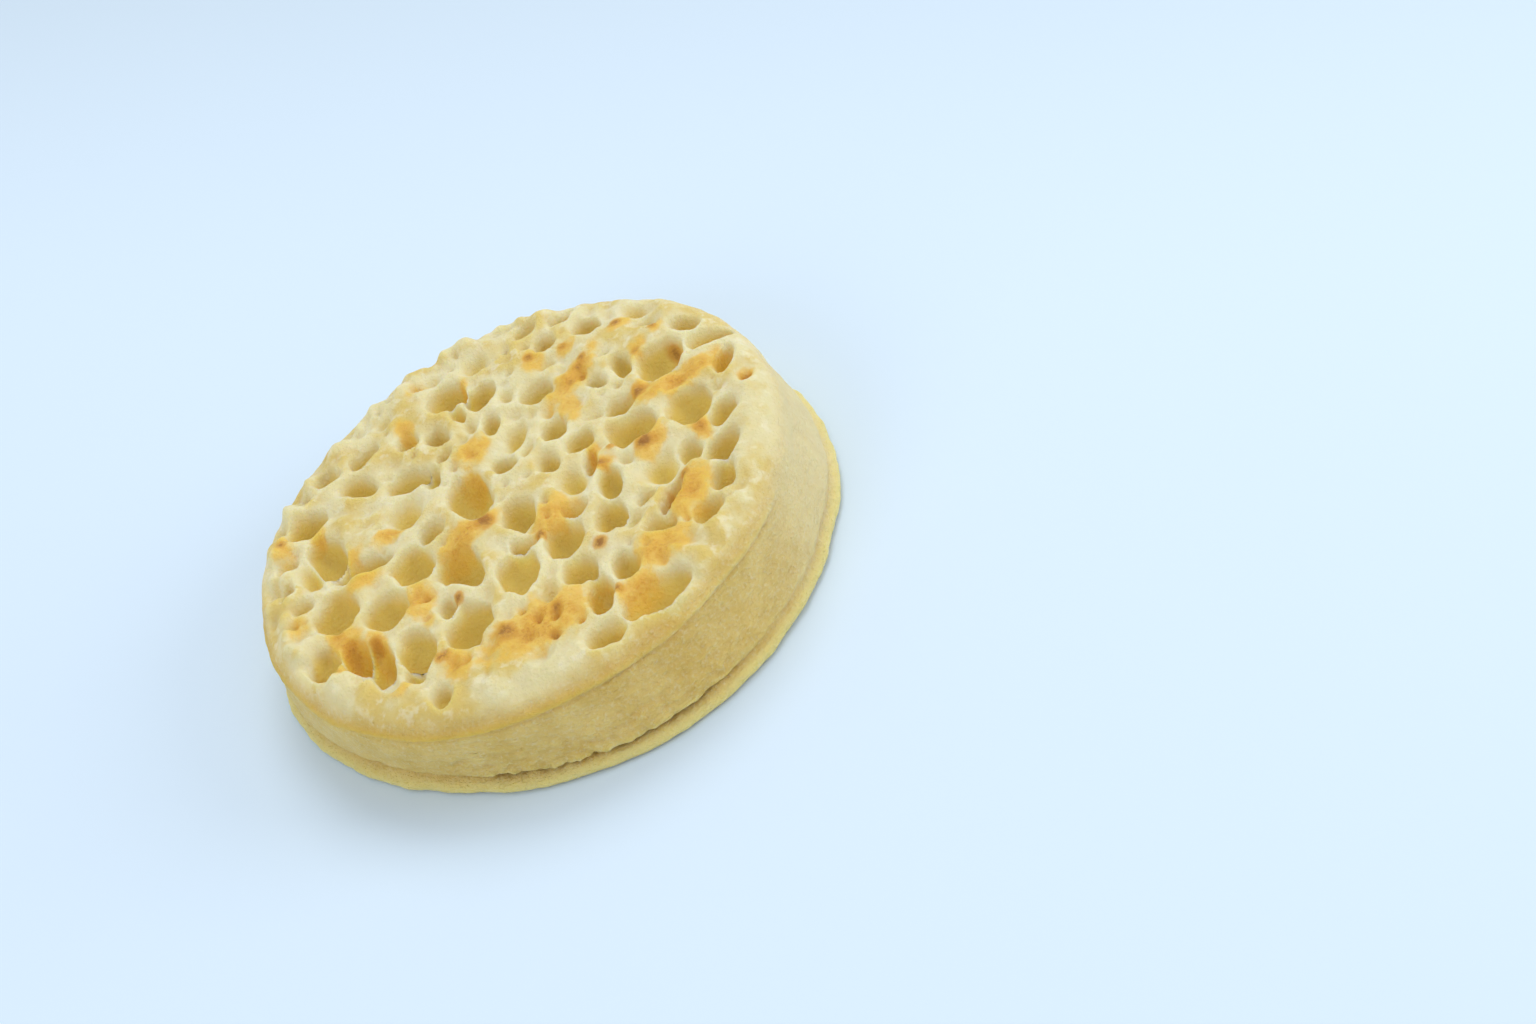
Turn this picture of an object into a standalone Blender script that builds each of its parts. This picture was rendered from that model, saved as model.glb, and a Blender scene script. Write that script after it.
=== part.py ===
"""Toasted crumpet: one round griddle bread, lying flat on its browned underside.

Run with: blender --background --python part.py
Units are metres in the scene; every size below is in millimetres and MM turns it to metres.
The origin is the middle of the underside, +Z is up through the holed face.
"""

import math
import random

import bmesh
import bpy
from mathutils import Matrix, Vector, noise

MM = 0.001

# Driving dimensions
THICKNESS = 17.0
FOOT_RADIUS = 44.5
FOOT_THICKNESS = 3.0
WALL_RADIUS = 41.9
WALL_FLARE = 1.0
SHOULDER_RADIUS = 5.2
GROOVE_DEPTH = 1.1
TURN_STEPS = 60
SHOULDER_STEPS = 5

# The batter set a little out of true: rounds of (order, size, direction in degrees) on each radius
FOOT_WAVER = ((1, 0.15, -103), (2, 0.26, -133), (3, 0.26, -177), (4, 0.5, 11))
WALL_WAVER = ((1, 1.2, -151), (2, 0.85, 67), (3, 0.19, 68), (4, 0.3, -145))
LEAN_X = 0.032
LEAN_Y = -0.005

# Low hills of the face between the pores
HILL_HEIGHT = 0.55
HILL_WIDTH = 9.0
HILL_SEED = 4.7

# Pores of the face: x, y, long half, short half, turn of the long half from +X in degrees
PORES = (
    (-35.7, -1.7, 1.5, 1.4, 0), (-38.0, -4.6, 1.1, 1.0, 0), (-31.0, -6.2, 3.5, 3.1, 90),
    (-18.3, -4.1, 3.4, 2.8, 90), (-23.8, -10.8, 3.6, 3.1, 90), (-11.9, -9.6, 4.7, 2.7, 115),
    (-1.1, -5.6, 3.5, 2.3, 90), (-2.1, -12.1, 2.3, 1.2, -25), (-3.9, -17.5, 3.9, 2.9, 90),
    (-34.6, -15.5, 3.9, 2.0, 88), (-30.0, -16.9, 4.0, 1.8, 95), (-26.8, -21.0, 5.0, 1.7, 95),
    (-29.5, -22.5, 1.4, 0.9, 45), (-21.3, -21.7, 4.2, 2.5, 95), (-22.3, -26.2, 1.8, 1.5, 90),
    (-15.4, -16.5, 2.0, 1.1, 80), (-13.1, -22.2, 4.2, 2.9, 75), (-19.9, -33.0, 2.0, 1.3, 90),
    (3.8, -15.6, 4.1, 2.7, 85), (11.1, -15.6, 3.2, 2.1, 80), (4.1, -23.0, 3.2, 2.2, 95),
    (10.3, -26.3, 2.7, 1.7, 90), (5.7, -29.7, 3.6, 1.6, 85), (4.1, -37.0, 2.7, 1.8, 5),
    (13.3, -34.1, 4.8, 2.5, 22), (24.2, -23.7, 2.2, 1.8, 60), (17.0, -21.8, 2.2, 1.6, -15),
    (28.0, -18.4, 2.7, 1.5, 65), (29.8, -12.5, 2.7, 2.3, 45), (24.9, -10.4, 2.0, 1.6, 80),
    (31.8, -5.9, 2.4, 1.8, 60), (27.6, -0.9, 3.9, 2.9, 80), (18.8, 0.6, 3.6, 3.1, -45),
    (11.2, -2.4, 3.0, 0.9, 75), (12.8, -8.5, 3.4, 1.4, 85), (6.9, -10.3, 1.9, 1.3, -20),
    (20.3, -16.9, 3.5, 0.9, 55), (16.9, -14.9, 1.5, 1.1, 30), (37.0, -1.0, 1.6, 0.9, 75),
    (-37.1, 2.8, 1.8, 1.0, 90), (-36.4, 8.4, 1.6, 1.2, 45), (-31.7, 15.5, 2.9, 2.5, 40),
    (-30.0, 6.4, 5.0, 2.2, 95), (-25.9, 0.7, 3.9, 1.9, -5), (-15.0, 14.0, 3.2, 2.2, 150),
    (-11.2, 11.6, 2.2, 1.1, 85), (-13.8, 0.4, 2.2, 1.8, 60), (-7.2, 3.4, 5.2, 2.7, 100),
    (-8.6, 14.8, 1.5, 1.2, 60), (-8.6, 19.8, 2.2, 1.5, 110), (-22.7, 18.2, 2.9, 1.9, 125),
    (-26.7, 23.9, 2.0, 1.7, 140), (-20.4, 24.2, 2.4, 1.7, 30), (-13.2, 22.4, 1.9, 1.5, 120),
    (-5.1, 28.0, 3.3, 2.7, 80), (-0.2, 24.5, 2.7, 2.2, 90), (-0.3, 16.9, 2.2, 1.2, 80),
    (-4.6, 22.8, 2.2, 1.0, 105), (-0.5, 6.4, 2.2, 1.7, 110), (7.6, 18.7, 2.4, 2.1, 0),
    (8.1, 8.9, 2.6, 1.7, 85), (11.1, 3.5, 2.4, 1.8, 45), (5.7, 2.1, 2.3, 1.4, 100),
    (18.5, 6.9, 2.1, 1.8, 0), (26.7, 11.8, 3.6, 3.1, 10), (21.2, 14.8, 2.8, 1.1, 95),
    (16.8, 14.0, 1.8, 1.0, 120), (32.4, 17.2, 2.4, 1.5, 135), (34.6, 11.6, 3.1, 1.8, -12),
    (35.3, 4.8, 2.7, 1.3, 65), (11.8, 28.9, 2.2, 1.6, 100), (18.8, 28.0, 2.5, 1.9, 110),
    (9.8, 34.2, 1.6, 1.4, 0), (15.8, 33.6, 2.0, 1.5, 30), (-9.3, 33.2, 1.4, 1.0, 130),
)

# Wide shallow bowls, where a bubble burst early and the batter ran back: the same five values
BOWLS = (
    (-1.0, -23.8, 2.4, 1.4, 80), (-33.2, 4.0, 4.0, 1.8, 105), (-38.9, 5.6, 1.7, 1.0, 80),
    (8.0, -4.2, 4.0, 2.5, 100), (13.8, -18.0, 2.3, 1.4, 50), (20.2, -10.6, 3.5, 3.1, 90),
    (16.4, -5.4, 1.9, 1.3, 120), (-16.9, 7.6, 3.4, 3.0, 60), (2.4, 11.8, 4.0, 2.1, 65),
    (3.4, 7.4, 2.3, 1.1, 60), (14.4, 7.6, 1.9, 1.2, 10), (8.2, 13.2, 1.5, 1.4, 30),
    (-31.4, 21.6, 2.2, 1.4, 60), (-15.8, 29.6, 1.7, 1.5, 0), (3.2, 21.3, 2.1, 1.4, 100),
    (26.2, 26.2, 3.0, 1.7, 140), (27.2, 21.8, 2.2, 1.4, 140), (0.6, 32.4, 2.6, 2.0, 0),
    (-3.4, 18.6, 2.4, 1.0, 100), (10.8, 23.8, 1.8, 1.3, 0), (-6.4, 33.6, 1.8, 1.3, 0),
)
PORE_DEPTH_SHARE = 0.9
BOWL_DEPTH_SHARE = 0.5
MOST_DEPTH = 4.8
PORE_LEAN_DEG = 20
SUNK_SHARE = 0.12
PORE_SIDES = 8
PORE_RINGS = 6

# Pin pores fill the bare skin by a rule
PIN_COUNT = 26
PIN_TRIES = 900
PIN_SEED = 21
PIN_RADIUS = (0.55, 1.0)
PIN_GAP = 0.7
PIN_SIDES = 6
PIN_RINGS = 4
FACE_LIMIT = 37.5

# Short slits in the side, where the crust split: angle in degrees, height, half length, half width
SIDE_SLITS = ((-62, 9.5, 3.0, 0.45), (-95, 8.0, 2.2, 0.4), (40, 9.0, 2.8, 0.45), (150, 8.5, 2.6, 0.4))
SLIT_DEPTH = 0.9


def clear_scene():
    for old in list(bpy.data.objects):
        bpy.data.objects.remove(old)


def new_collection(name):
    made = bpy.data.collections.new(name)
    bpy.context.scene.collection.children.link(made)
    return made


def add_object(name, shape, collection):
    mesh = bpy.data.meshes.new(name)
    shape.to_mesh(mesh)
    shape.free()
    made = bpy.data.objects.new(name, mesh)
    collection.objects.link(made)
    return made


def smooth_step(low, high, value):
    share = min(1.0, max(0.0, (value - low) / (high - low)))
    return share * share * (3 - 2 * share)


def waver(rounds, angle):
    return sum(size * math.cos(order * angle - math.radians(turn)) for order, size, turn in rounds)


def out_of_true(point):
    """Moves a point of the perfectly turned crumpet, in millimetres, to the uneven one."""
    angle = math.atan2(point.y, point.x)
    radius = math.hypot(point.x, point.y)
    risen = smooth_step(FOOT_THICKNESS - 0.5, THICKNESS * 0.7, point.z)
    wide = waver(FOOT_WAVER, angle) * (1 - risen) + waver(WALL_WAVER, angle) * risen
    radius += wide * radius / FOOT_RADIUS
    x, y = radius * math.cos(angle), radius * math.sin(angle)
    lifted = point.z * (1 + (LEAN_X * x + LEAN_Y * y) / THICKNESS)
    face = smooth_step(THICKNESS - 2.5, THICKNESS, point.z)
    hill = noise.noise(Vector((x / HILL_WIDTH, y / HILL_WIDTH, HILL_SEED)))
    return Vector((x, y, lifted + face * HILL_HEIGHT * hill))


def side_profile():
    """Radius and height of the turned outline, from the middle of the underside to the middle of the face."""
    shoulder_low = THICKNESS - SHOULDER_RADIUS
    flat_radius = WALL_RADIUS - SHOULDER_RADIUS
    wall_foot = WALL_RADIUS + WALL_FLARE
    groove = wall_foot - GROOVE_DEPTH
    outline = [(0, 0), (FOOT_RADIUS * 0.45, 0), (FOOT_RADIUS * 0.77, 0), (FOOT_RADIUS - 2.2, 0)]
    outline += [(FOOT_RADIUS - 0.6, 0.35), (FOOT_RADIUS, 1.1), (FOOT_RADIUS - 0.4, 2.0)]
    outline += [(FOOT_RADIUS - 1.3, FOOT_THICKNESS - 0.4), (groove + 0.5, FOOT_THICKNESS - 0.2)]
    outline += [(groove, FOOT_THICKNESS + 0.3), (wall_foot - 0.1, FOOT_THICKNESS + 1.1)]
    outline += [(WALL_RADIUS + 0.75 * WALL_FLARE, 6.6), (WALL_RADIUS + 0.35 * WALL_FLARE, 9.4)]
    for step in range(SHOULDER_STEPS + 1):
        bend = math.radians(90) * step / SHOULDER_STEPS
        outline.append((
            flat_radius + SHOULDER_RADIUS * math.cos(bend),
            shoulder_low + SHOULDER_RADIUS * math.sin(bend),
        ))
    outline += [(flat_radius * share, THICKNESS) for share in (0.85, 0.66, 0.44, 0.22, 0)]
    return outline


def turned_body():
    shape = bmesh.new()
    points = [shape.verts.new((radius * MM, 0, height * MM)) for radius, height in side_profile()]
    edges = [shape.edges.new(pair) for pair in zip(points, points[1:])]
    bmesh.ops.spin(
        shape, geom=points + edges, cent=(0, 0, 0), axis=(0, 0, 1), angle=math.tau,
        steps=TURN_STEPS, use_merge=True,
    )
    bmesh.ops.remove_doubles(shape, verts=shape.verts, dist=0.00001)
    for vert in shape.verts:
        vert.co = out_of_true(vert.co / MM) * MM
    bmesh.ops.recalc_face_normals(shape, faces=shape.faces)
    return shape


def face_height(x, y):
    """Height of the face over a place on it, in millimetres."""
    near_edge = max(0.0, math.hypot(x, y) - (WALL_RADIUS - SHOULDER_RADIUS))
    dropped = SHOULDER_RADIUS - math.sqrt(max(0.0, SHOULDER_RADIUS**2 - near_edge**2))
    return (THICKNESS - dropped) * (1 + (LEAN_X * x + LEAN_Y * y) / THICKNESS)


def pore_cutter(name, pore, depth_share, sides, rings, collection):
    """A squashed ball that hangs in the face with a straight mouth, its foot leaning towards -Y."""
    x, y, long_half, short_half, turn = pore
    depth = min(MOST_DEPTH, depth_share * (long_half + short_half))
    shape = bmesh.new()
    bmesh.ops.create_uvsphere(shape, u_segments=sides, v_segments=rings, radius=1)
    bmesh.ops.scale(shape, vec=(long_half * MM, short_half * MM, depth * MM), verts=shape.verts)
    shape.transform(Matrix.Rotation(math.radians(turn), 4, "Z"))
    shape.transform(Matrix.Rotation(math.radians(-PORE_LEAN_DEG), 4, "X"))
    shape.transform(Matrix.Translation(Vector((x, y, face_height(x, y) - SUNK_SHARE * depth)) * MM))
    return add_cutter(name, shape, collection)


def slit_cutter(name, slit, collection):
    """A thin lens laid along the wall."""
    angle_deg, height, half_length, half_width = slit
    angle = math.radians(angle_deg)
    shape = bmesh.new()
    bmesh.ops.create_uvsphere(shape, u_segments=8, v_segments=6, radius=1)
    bmesh.ops.scale(shape, vec=(SLIT_DEPTH * 1.6 * MM, half_length * MM, half_width * MM), verts=shape.verts)
    out = WALL_RADIUS + WALL_FLARE / 2
    wall = out_of_true(Vector((out * math.cos(angle), out * math.sin(angle), height)))
    shape.transform(Matrix.Translation(wall * MM) @ Matrix.Rotation(angle, 4, "Z"))
    return add_cutter(name, shape, collection)


def add_cutter(name, shape, collection):
    made = add_object(name, shape, collection)
    made.hide_render = True
    made.display_type = "WIRE"
    return made


def pin_pores():
    """Small round pores dropped at random on bare skin, clear of every other pore."""
    draw = random.Random(PIN_SEED)
    taken = [(x, y, (a + b) / 2) for x, y, a, b, _ in PORES + BOWLS]
    pins = []
    for _ in range(PIN_TRIES):
        if len(pins) == PIN_COUNT:
            break
        radius = draw.uniform(*PIN_RADIUS)
        out = FACE_LIMIT * math.sqrt(draw.random())
        angle = draw.uniform(0, math.tau)
        x, y = out * math.cos(angle), out * math.sin(angle)
        if all(math.hypot(x - px, y - py) > pr + radius + PIN_GAP for px, py, pr in taken):
            taken.append((x, y, radius))
            pins.append((x, y, radius, radius * 0.85, math.degrees(angle)))
    return pins


def crumb_material():
    made = bpy.data.materials.new("toasted_crumb")
    made.use_nodes = True
    shader = made.node_tree.nodes["Principled BSDF"]
    shader.inputs["Base Color"].default_value = (0.76, 0.61, 0.33, 1)
    shader.inputs["Roughness"].default_value = 0.6
    shader.inputs["Metallic"].default_value = 0.0
    return made


def cut_away(body, cutters):
    """Cuts the collection's shapes out of the body, and removes them."""
    cut = body.modifiers.new("pores", "BOOLEAN")
    cut.operation = "DIFFERENCE"
    cut.solver = "EXACT"
    cut.operand_type = "COLLECTION"
    cut.collection = cutters
    graph = bpy.context.evaluated_depsgraph_get()
    finished = bpy.data.meshes.new_from_object(body.evaluated_get(graph))
    body.modifiers.clear()
    body.data = finished
    for old in list(cutters.objects):
        bpy.data.objects.remove(old)
    bpy.data.collections.remove(cutters)


def main():
    clear_scene()
    crumpet = new_collection("toasted_crumpet")
    cutters = new_collection("pore_cutters")
    body = add_object("crumpet", turned_body(), crumpet)
    for number, pore in enumerate(PORES):
        pore_cutter(f"pore_{number}", pore, PORE_DEPTH_SHARE, PORE_SIDES, PORE_RINGS, cutters)
    for number, bowl in enumerate(BOWLS):
        pore_cutter(f"bowl_{number}", bowl, BOWL_DEPTH_SHARE, PORE_SIDES, PORE_RINGS, cutters)
    for number, pin in enumerate(pin_pores()):
        pore_cutter(f"pin_{number}", pin, PORE_DEPTH_SHARE, PIN_SIDES, PIN_RINGS, cutters)
    for number, slit in enumerate(SIDE_SLITS):
        slit_cutter(f"slit_{number}", slit, cutters)
    cut_away(body, cutters)
    body.data.materials.append(crumb_material())
    body.data.shade_smooth()
    body.data.set_sharp_from_angle(angle=math.radians(50))


main()
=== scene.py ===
import math
import random

import bmesh
import bpy
import numpy as np
from mathutils import Matrix, Vector, noise


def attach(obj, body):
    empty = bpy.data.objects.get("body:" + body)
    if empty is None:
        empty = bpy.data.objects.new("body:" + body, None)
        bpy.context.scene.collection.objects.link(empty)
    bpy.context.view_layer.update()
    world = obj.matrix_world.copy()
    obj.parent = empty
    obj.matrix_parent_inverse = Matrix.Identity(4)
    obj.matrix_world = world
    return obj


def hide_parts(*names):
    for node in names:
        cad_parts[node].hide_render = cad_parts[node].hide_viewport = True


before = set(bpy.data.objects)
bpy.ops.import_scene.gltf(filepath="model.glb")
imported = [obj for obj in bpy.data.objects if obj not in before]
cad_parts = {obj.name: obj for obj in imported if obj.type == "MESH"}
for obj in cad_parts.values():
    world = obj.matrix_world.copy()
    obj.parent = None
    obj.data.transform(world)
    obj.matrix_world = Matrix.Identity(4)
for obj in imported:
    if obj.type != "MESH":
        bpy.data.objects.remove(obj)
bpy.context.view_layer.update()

MM = 0.001

# Sizes of the crumpet, in millimetres
THICKNESS = 17.0
FOOT_RADIUS = 44.4
WALL_RADIUS = 41.9
WALL_FOOT = 3.35
WALL_FLARE = 1.5
WALL_FLARE_POWER = 1.3
WALL_BELLY = 0.15
WALL_ROWS = 20
SHOULDER_RADIUS = 5.2
LEAN_X = 0.032
LEAN_Y = -0.005
FOOT_WAVER = ((1, 0.15, -103), (2, 0.26, -133), (3, 0.26, -177), (4, 0.5, 11))
WALL_WAVER = ((1, 1.2, -151), (2, 0.85, 67), (3, 0.19, 68), (4, 0.3, -145))

# The foot and the waist over it: radius and height, up the outline
FOOT_OUTLINE = (
    (0, 0), (20, 0), (34, 0), (39, 0), (41, 0), (42.4, 0.02), (43.2, 0.1), (43.8, 0.24), (44.2, 0.42),
    (44.42, 0.66), (44.48, 0.92), (44.42, 1.18), (44.28, 1.4), (44.1, 1.58), (43.9, 1.73), (43.7, 1.87),
    (43.52, 2.0), (43.38, 2.13), (43.3, 2.27), (43.26, 2.42), (43.27, 2.58), (43.32, 2.76), (43.38, 2.95),
    (43.43, 3.15), (43.45, 3.35),
)

# Lumps of the batter, a row for each size of them: height, width, seed
FACE_HILLS = ((0.65, 9, 15), (0.45, 4.0, 16), (0.16, 1.5, 17))
FAR_EDGE_LUMPS = ((1, 4.4, 18), (0.5, 2.2, 27))
FOOT_EDGE_LUMPS = ((0.4, 5, 23), (0.12, 1.6, 24))
CRACK_WANDER = ((0.3, 4.5, 25), (0.3, 1.3, 28))
CRACK_BREAKS = ((1, 5.5, 9), (0.5, 1.3, 26))
CRUMBS = ((0.45, 1.9, 10), (0.45, 0.9, 22))
PATCH_EDGES = ((0.30, 2.2, 20), (0.22, 0.9, 21))

# Lumps of the side, with how much flatter than wide they are
SIDE_LUMPS = ((0.35, 11, 4, 1), (0.16, 2.6, 5, 1.8), (0.08, 1.1, 6, 2))

# Where round the side each mark is strongest, in degrees from +X
CRACK_FACES = -96
HOLLOW_FACES = -165
PUCKERS_FACE = -92
CREASE_FACES = -115
YELLOW_CREASE_FACES = -135
LUMPY_EDGE_FACES = 140

# Heights and depths of the marks in the side, in millimetres
CRACK_HEIGHT = 2.45
CRACK_WIDTH = 0.3
CRACK_DEPTH = 1.9
WAIST_WIDTH = 0.8
WAIST_DEPTH = 0.2
HOLLOW_DEPTH = 1.0
CRUMB_SWELL = 0.25
PUCKER_DEPTH = 0.45
CREASE_HEIGHT = 12.7
CREASE_DEPTH = 0.45
FOLD_DEPTH = 0.35

# The mesh: points this near each other are joined, and the cells across the top set the steps of the side
WELD = 0.02
TOP_CELLS = 224
SIDE_STEPS = 4 * TOP_CELLS

# Pores of the face: x, y, long half, short half, turn of the long half from +X in degrees
PORES = (
    (-35.7, -1.7, 1.5, 1.4, 0), (-38.0, -4.6, 1.1, 1.0, 0), (-31.0, -6.2, 3.5, 3.1, 90),
    (-18.3, -4.1, 3.4, 2.8, 90), (-23.8, -10.8, 3.6, 3.1, 90), (-11.9, -9.6, 4.7, 2.7, 115),
    (-1.1, -5.6, 3.5, 2.3, 90), (-2.1, -12.1, 2.3, 1.2, -25), (-3.9, -17.5, 3.9, 2.9, 90),
    (-34.6, -15.5, 3.9, 2.0, 88), (-30.0, -16.9, 4.0, 1.8, 95), (-26.8, -21.0, 5.0, 1.7, 95),
    (-29.5, -22.5, 1.4, 0.9, 45), (-21.3, -21.7, 4.2, 2.5, 95), (-22.3, -26.2, 1.8, 1.5, 90),
    (-15.4, -16.5, 2.0, 1.1, 80), (-13.1, -22.2, 4.2, 2.9, 75), (-19.9, -33.0, 2.0, 1.3, 90),
    (3.8, -14.9, 3.3, 2.6, 85), (11.1, -15.6, 3.2, 2.1, 80), (4.2, -22.8, 2.5, 2.1, 95),
    (10.3, -26.3, 2.7, 1.7, 90), (5.7, -29.7, 3.6, 1.6, 85), (4.1, -37.0, 2.7, 1.8, 5),
    (13.3, -34.1, 4.8, 2.5, 22), (24.2, -23.7, 2.2, 1.8, 60), (17.0, -21.8, 2.2, 1.6, -15),
    (28.0, -18.4, 2.7, 1.5, 65), (29.8, -12.5, 2.7, 2.3, 45), (24.9, -10.4, 2.0, 1.6, 80),
    (31.8, -5.9, 2.4, 1.8, 60), (27.6, -0.9, 3.9, 2.9, 80), (18.8, 0.6, 3.6, 3.1, -45),
    (11.2, -2.4, 3.0, 0.9, 75), (12.8, -8.5, 3.4, 1.4, 85), (6.9, -10.3, 1.9, 1.3, -20),
    (20.3, -16.9, 3.5, 0.9, 55), (16.9, -14.9, 1.5, 1.1, 30), (37.0, -1.0, 1.6, 0.9, 75),
    (-37.1, 2.8, 1.8, 1.0, 90), (-36.4, 8.4, 1.6, 1.2, 45), (-31.7, 15.5, 2.9, 2.5, 40),
    (-30.0, 6.4, 5.0, 2.2, 95), (-25.9, 0.7, 3.9, 1.9, -5), (-15.0, 14.0, 3.2, 2.2, 150),
    (-11.2, 11.6, 2.2, 1.1, 85), (-13.8, 0.4, 2.2, 1.8, 60), (-7.2, 3.4, 5.2, 2.7, 100),
    (-8.6, 14.8, 1.5, 1.2, 60), (-8.6, 19.8, 2.2, 1.5, 110), (-22.7, 18.2, 2.9, 1.9, 125),
    (-26.7, 23.9, 2.0, 1.7, 140), (-20.4, 24.2, 2.4, 1.7, 30), (-13.2, 22.4, 1.9, 1.5, 120),
    (-5.1, 28.0, 3.3, 2.7, 80), (-0.2, 24.5, 2.7, 2.2, 90), (-0.3, 16.9, 2.2, 1.2, 80),
    (-4.6, 22.8, 2.2, 1.0, 105), (-0.5, 6.4, 2.2, 1.7, 110), (7.6, 18.7, 2.4, 2.1, 0),
    (8.1, 8.9, 2.6, 1.7, 85), (11.1, 3.5, 2.4, 1.8, 45), (5.7, 2.1, 2.3, 1.4, 100),
    (18.5, 6.9, 2.1, 1.8, 0), (26.7, 11.8, 3.6, 3.1, 10), (21.2, 14.8, 2.8, 1.1, 95),
    (16.8, 14.0, 1.8, 1.0, 120), (32.4, 17.2, 2.4, 1.5, 135), (34.6, 11.6, 3.1, 1.8, -12),
    (35.3, 4.8, 2.7, 1.3, 65), (11.8, 28.9, 2.2, 1.6, 100), (18.8, 28.0, 2.5, 1.9, 110),
    (9.8, 34.2, 1.6, 1.4, 0), (15.8, 33.6, 2.0, 1.5, 30), (-9.3, 33.2, 1.4, 1.0, 130),
)

# Wide shallow bowls, where a bubble burst early and the batter ran back: the same five values
BOWLS = (
    (-1.0, -23.8, 2.4, 1.4, 80), (-33.2, 4.0, 4.0, 1.8, 105), (-38.9, 5.6, 1.7, 1.0, 80),
    (8.0, -4.2, 4.0, 2.5, 100), (13.8, -18.0, 2.3, 1.4, 50), (20.2, -10.6, 3.5, 3.1, 90),
    (16.4, -5.4, 1.9, 1.3, 120), (-16.9, 7.6, 3.4, 3.0, 60), (2.4, 11.8, 4.0, 2.1, 65),
    (3.4, 7.4, 2.3, 1.1, 60), (14.4, 7.6, 1.9, 1.2, 10), (8.2, 13.2, 1.5, 1.4, 30),
    (-31.4, 21.6, 2.2, 1.4, 60), (-15.8, 29.6, 1.7, 1.5, 0), (3.2, 21.3, 2.1, 1.4, 100),
    (26.2, 26.2, 3.0, 1.7, 140), (27.2, 21.8, 2.2, 1.4, 140), (0.6, 32.4, 2.6, 2.0, 0),
    (-3.4, 18.6, 2.4, 1.0, 100), (10.8, 23.8, 1.8, 1.3, 0), (-6.4, 33.6, 1.8, 1.3, 0),
)

# How the pores are dug: depths as shares of a pore's two half lengths, the rest in millimetres or shares
PORE_DEPTH_SHARE = 0.9
BOWL_DEPTH_SHARE = 0.45
MOST_DEPTH = 4.7
PORE_LEAN = 0.42
PORE_SPREAD = 1.16
PORE_WOBBLE = 0.24
PORE_RAGGED = 0.16
PORE_UNEVEN = 0.18
RIM_REACH = 5
NEAR_RIM = 0.25
FAR_RIM = 1.8
RIM_DROP = 1.0
NEAR_LIP = 0.22
FULL_PIT = 4
BUBBLE_SWELL = math.radians(8)
LEAST_SWOLLEN = 1.3
WEB_WIDTH = 0.8
WEB_HEIGHT = 0.85

# Small pores and shallow dimples fill the bare skin by a rule: how many, radii, gap to others, seed
PINS = (46, (0.5, 0.95), 0.6, 21)
DIMPLES = (70, (0.9, 1.9), -0.5, 5)
DIMPLE_DEPTH_SHARE = 0.22
FILL_TRIES = 1500
FACE_LIMIT = 37.5

# Golden patches the toaster left: x, y, long half, short half, turn, strength
TOASTED = (
    (-4.0, -29.6, 7.2, 3.7, 5, 1.0), (16.0, -26.5, 4.2, 2.9, 30, 0.9), (11.0, -31.6, 3.2, 1.6, 20, 0.8),
    (22.6, -18.8, 4.4, 2.6, 60, 0.9), (3.0, -9.6, 3.4, 2.4, 30, 0.85), (-9.0, -4.6, 4.2, 2.2, 20, 1.0),
    (-25.8, -2.6, 2.8, 1.6, 10, 0.6), (-19.0, -12.2, 3.2, 2.0, 90, 0.9), (-30.8, -13.0, 3.6, 2.0, 110, 0.9),
    (-33.0, -18.8, 1.9, 1.4, 90, 0.8), (-26.7, -16.8, 2.4, 1.4, 90, 0.85), (-37.0, -5.4, 2.2, 1.4, 80, 0.5),
    (-16.4, -29.4, 2.8, 2.0, 90, 0.8), (-24.5, -28.6, 2.0, 1.2, 20, 0.5), (-36.0, 12.3, 2.3, 1.6, 80, 0.6),
    (-30.5, 11.8, 1.8, 1.1, 60, 0.6), (-19.6, 4.4, 2.8, 1.3, 15, 0.85), (-26.5, 3.6, 2.0, 1.1, 20, 0.6),
    (-6.3, 6.9, 1.7, 1.4, 90, 0.8), (-4.2, 12.2, 2.5, 2.0, 45, 0.9), (-13.0, 25.4, 2.1, 1.4, 100, 0.7),
    (-2.7, 28.8, 1.9, 1.1, 60, 0.6), (-9.5, 33.0, 1.7, 1.2, 30, 0.5), (13.6, 17.2, 5.4, 1.9, 40, 0.95),
    (11.6, 11.6, 2.9, 1.4, 90, 0.8), (12.3, -0.4, 2.0, 0.9, 80, 0.9), (12.9, -3.8, 1.7, 1.3, 0, 0.9),
    (20.4, -5.1, 2.5, 1.8, 40, 0.95), (28.0, -6.4, 2.7, 1.3, 90, 0.9), (28.0, 5.4, 5.6, 1.8, 5, 1.0),
    (22.0, 7.2, 2.4, 1.5, 20, 0.95), (23.6, 24.0, 2.0, 1.2, 30, 0.7), (24.4, 16.4, 2.2, 1.2, 60, 0.6),
    (28.4, 19.0, 1.6, 1.0, 60, 0.6), (9.4, 26.4, 2.4, 1.5, 60, 0.75), (14.6, 24.6, 1.8, 1.1, 40, 0.7),
    (37.2, -1.0, 1.6, 1.1, 75, 0.8), (-18.2, -17.4, 1.6, 1.1, 60, 0.5), (34.4, 5.6, 2.2, 1.2, 70, 0.6),
)

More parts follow.
